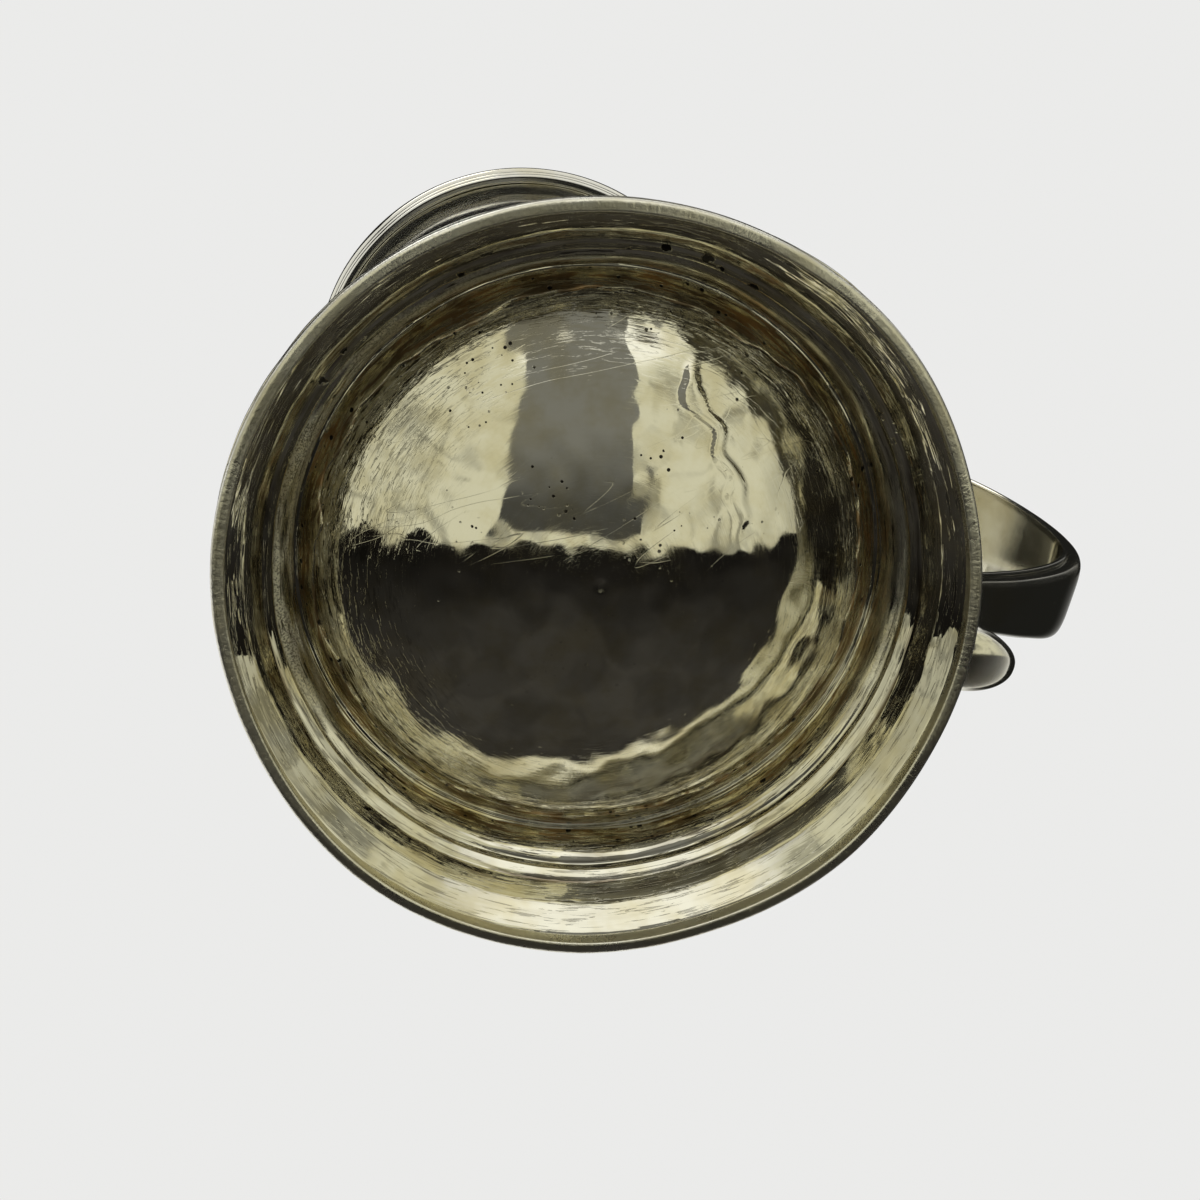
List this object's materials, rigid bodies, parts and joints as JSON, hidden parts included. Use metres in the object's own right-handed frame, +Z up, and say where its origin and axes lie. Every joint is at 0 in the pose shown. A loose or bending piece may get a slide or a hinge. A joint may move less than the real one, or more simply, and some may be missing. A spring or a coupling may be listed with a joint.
{
  "type": "beer mug",
  "caption": "Raised baluster silver mug with a reeded lip, a spreading moulded foot and a hollow scroll handle soldered on pads.",
  "frame": {"origin": "centre of the plane that the foot wire stands on", "axes": "+Z up along the mug's axis, +X towards the handle"},
  "size_m": [0.1214, 0.0854, 0.128],
  "materials": {
    "silver": "polished silver, worn, with fine scratches and brown tarnish in the joints",
    "solder": "dull tarnished silver solder"
  },
  "bodies": {
    "root": {"bowl": "silver", "lip_band": "silver", "foot_skirt": "silver", "foot_wire": "silver", "foot_solder_fillet": "solder", "handle_back": "silver", "handle_strip": "silver", "handle_tail": "silver", "upper_handle_pad": "silver", "lower_handle_pad": "silver"}
  },
  "joints": []
}
